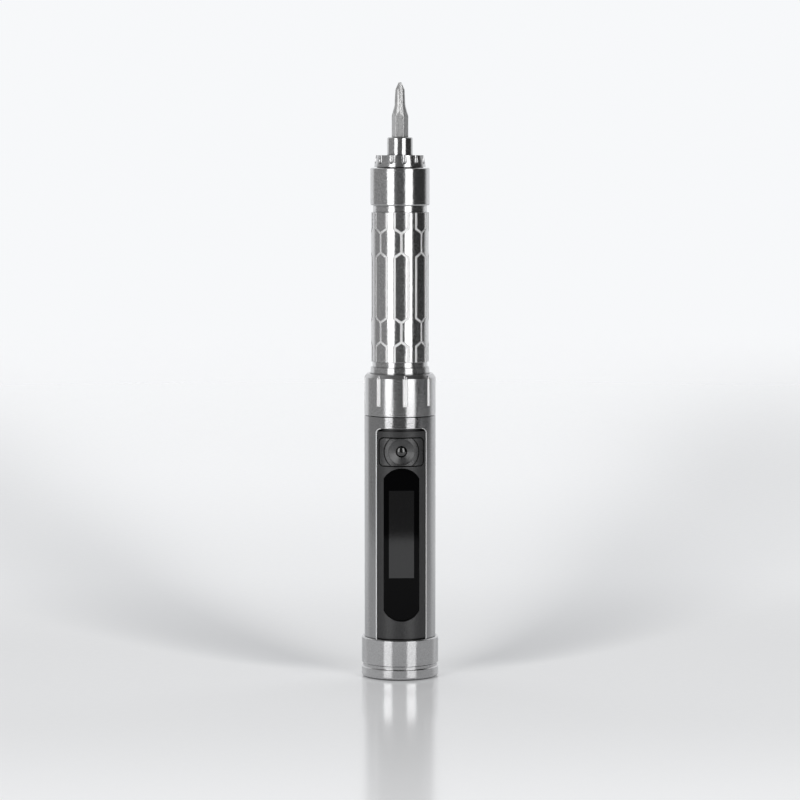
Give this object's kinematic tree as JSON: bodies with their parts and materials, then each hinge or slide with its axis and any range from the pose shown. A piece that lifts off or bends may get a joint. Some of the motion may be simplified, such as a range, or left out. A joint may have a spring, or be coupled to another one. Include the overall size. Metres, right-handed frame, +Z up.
{
  "type": "cordless torque screwdriver",
  "caption": "Slim cordless torque screwdriver standing on its tail cap: display panel with button, slotted nut, hexagon-engraved grip, planetary gearbox, cross bit.",
  "frame": {"origin": "centre of the tail cap's underside, which the tool stands on", "axes": "+Z up the tool's axis to the tip of the bit; the display panel and button face -Y; +X is on the right when facing the panel"},
  "size_m": [0.0216, 0.0216, 0.1666],
  "materials": {
    "satin_metal": "satin",
    "button_metal": "satin",
    "panel_plastic": "fine texture",
    "lens_black": "gloss",
    "display_glass": "gloss",
    "black_plastic": "moulded",
    "board": "solder mask",
    "ribbon_film": "film",
    "battery_wrap": "shrink wrap",
    "lead_sleeve": "silicone",
    "nickel": "plated",
    "steel": "machined",
    "bit_steel": "polished",
    "bronze": "machined",
    "copper_wire": "enamelled wire",
    "magnet": "plated"
  },
  "bodies": {
    "handle": {"tail_cap": "satin_metal", "usb_shell": "nickel", "usb_tongue": "black_plastic", "usb_board": "board", "body_tube": "satin_metal", "chassis": "black_plastic", "battery_cell": "battery_wrap", "battery_tabs": "nickel", "circuit_board": "board", "board_chips": "black_plastic", "board_screws": "steel", "switch_body": "black_plastic", "display_module": "display_glass", "display_ribbon": "ribbon_film", "lens": "lens_black", "fascia": "panel_plastic", "coupling_nut": "satin_metal", "grip_retainer": "steel", "grip_sleeve": "satin_metal", "motor_can": "nickel", "motor_magnet": "magnet", "motor_bushes": "bronze", "motor_end_cap": "black_plastic", "motor_brushes": "bronze", "motor_leads": "lead_sleeve", "motor_plate": "bronze", "motor_screws": "steel", "ring_gear": "steel", "spindle_bush": "bronze", "bearing_outer": "steel", "front_barrel": "satin_metal", "nose_nut": "satin_metal"},
    "spindle": {"bit_holder": "satin_metal", "bit_magnet": "magnet", "bearing_inner": "steel", "output_carrier": "steel", "output_pins": "steel"},
    "bit_body": {"bit": "bit_steel"},
    "button": {"button_cap": "button_metal", "button_bead": "lens_black", "switch_plunger": "black_plastic"},
    "ball_row": {"bearing_balls": "nickel", "bearing_cage": "bronze"},
    "carrier_two": {"stage2_carrier": "steel", "stage2_pins": "steel"},
    "carrier_one": {"stage1_carrier": "steel", "stage1_pins": "steel"},
    "rotor": {"motor_shaft": "steel", "motor_winding": "copper_wire", "motor_pinion": "bronze"},
    "planet_1a": {"stage1_planet_a": "steel"},
    "planet_1b": {"stage1_planet_b": "steel"},
    "planet_1c": {"stage1_planet_c": "steel"},
    "planet_2a": {"stage2_planet_a": "steel"},
    "planet_2b": {"stage2_planet_b": "steel"},
    "planet_2c": {"stage2_planet_c": "steel"},
    "planet_3a": {"stage3_planet_a": "steel"},
    "planet_3b": {"stage3_planet_b": "steel"},
    "planet_3c": {"stage3_planet_c": "steel"}
  },
  "joints": [
    {"name": "spindle_spin", "type": "hinge", "parent": "handle", "child": "spindle", "pos_m": [0, 0, 0.145], "axis": [0, 0, 1], "continuous": true},
    {"name": "bit_pull", "type": "slide", "parent": "spindle", "child": "bit_body", "axis": [0, 0, 1], "range_m": [0, 0.014]},
    {"name": "button_press", "type": "slide", "parent": "handle", "child": "button", "axis": [0, 1, 0], "range_m": [0, 0.0003], "stiffness_N_per_m": 6000},
    {"name": "ball_row_spin", "type": "hinge", "parent": "handle", "child": "ball_row", "pos_m": [0, 0, 0.137], "axis": [0, 0, 1], "continuous": true},
    {"name": "carrier_two_spin", "type": "hinge", "parent": "handle", "child": "carrier_two", "pos_m": [0, 0, 0.12], "axis": [0, 0, 1], "continuous": true},
    {"name": "carrier_one_spin", "type": "hinge", "parent": "handle", "child": "carrier_one", "pos_m": [0, 0, 0.116], "axis": [0, 0, 1], "continuous": true},
    {"name": "rotor_spin", "type": "hinge", "parent": "handle", "child": "rotor", "pos_m": [0, 0, 0.1], "axis": [0, 0, 1], "continuous": true},
    {"name": "planet_3a_spin", "type": "hinge", "parent": "spindle", "child": "planet_3a", "pos_m": [0.00384, 0, 0.118], "axis": [0, 0, 1], "continuous": true},
    {"name": "planet_3b_spin", "type": "hinge", "parent": "spindle", "child": "planet_3b", "pos_m": [-0.00192, 0.00333, 0.118], "axis": [0, 0, 1], "continuous": true},
    {"name": "planet_3c_spin", "type": "hinge", "parent": "spindle", "child": "planet_3c", "pos_m": [-0.00192, -0.00333, 0.118], "axis": [0, 0, 1], "continuous": true},
    {"name": "planet_2a_spin", "type": "hinge", "parent": "carrier_two", "child": "planet_2a", "pos_m": [0.00384, 0, 0.118], "axis": [0, 0, 1], "continuous": true},
    {"name": "planet_2b_spin", "type": "hinge", "parent": "carrier_two", "child": "planet_2b", "pos_m": [-0.00192, 0.00333, 0.118], "axis": [0, 0, 1], "continuous": true},
    {"name": "planet_2c_spin", "type": "hinge", "parent": "carrier_two", "child": "planet_2c", "pos_m": [-0.00192, -0.00333, 0.118], "axis": [0, 0, 1], "continuous": true},
    {"name": "planet_1a_spin", "type": "hinge", "parent": "carrier_one", "child": "planet_1a", "pos_m": [0.00384, 0, 0.118], "axis": [0, 0, 1], "continuous": true},
    {"name": "planet_1b_spin", "type": "hinge", "parent": "carrier_one", "child": "planet_1b", "pos_m": [-0.00192, 0.00333, 0.118], "axis": [0, 0, 1], "continuous": true},
    {"name": "planet_1c_spin", "type": "hinge", "parent": "carrier_one", "child": "planet_1c", "pos_m": [-0.00192, -0.00333, 0.118], "axis": [0, 0, 1], "continuous": true}
  ],
  "couplings": [
    {"joint": "ball_row_spin", "follows": "spindle_spin", "ratio": 0.4208},
    {"joint": "carrier_two_spin", "follows": "spindle_spin", "ratio": 4},
    {"joint": "carrier_one_spin", "follows": "spindle_spin", "ratio": 16},
    {"joint": "rotor_spin", "follows": "spindle_spin", "ratio": 64},
    {"joint": "planet_3a_spin", "follows": "spindle_spin", "ratio": -3},
    {"joint": "planet_3b_spin", "follows": "spindle_spin", "ratio": -3},
    {"joint": "planet_3c_spin", "follows": "spindle_spin", "ratio": -3},
    {"joint": "planet_2a_spin", "follows": "spindle_spin", "ratio": -12},
    {"joint": "planet_2b_spin", "follows": "spindle_spin", "ratio": -12},
    {"joint": "planet_2c_spin", "follows": "spindle_spin", "ratio": -12},
    {"joint": "planet_1a_spin", "follows": "spindle_spin", "ratio": -48},
    {"joint": "planet_1b_spin", "follows": "spindle_spin", "ratio": -48},
    {"joint": "planet_1c_spin", "follows": "spindle_spin", "ratio": -48}
  ]
}
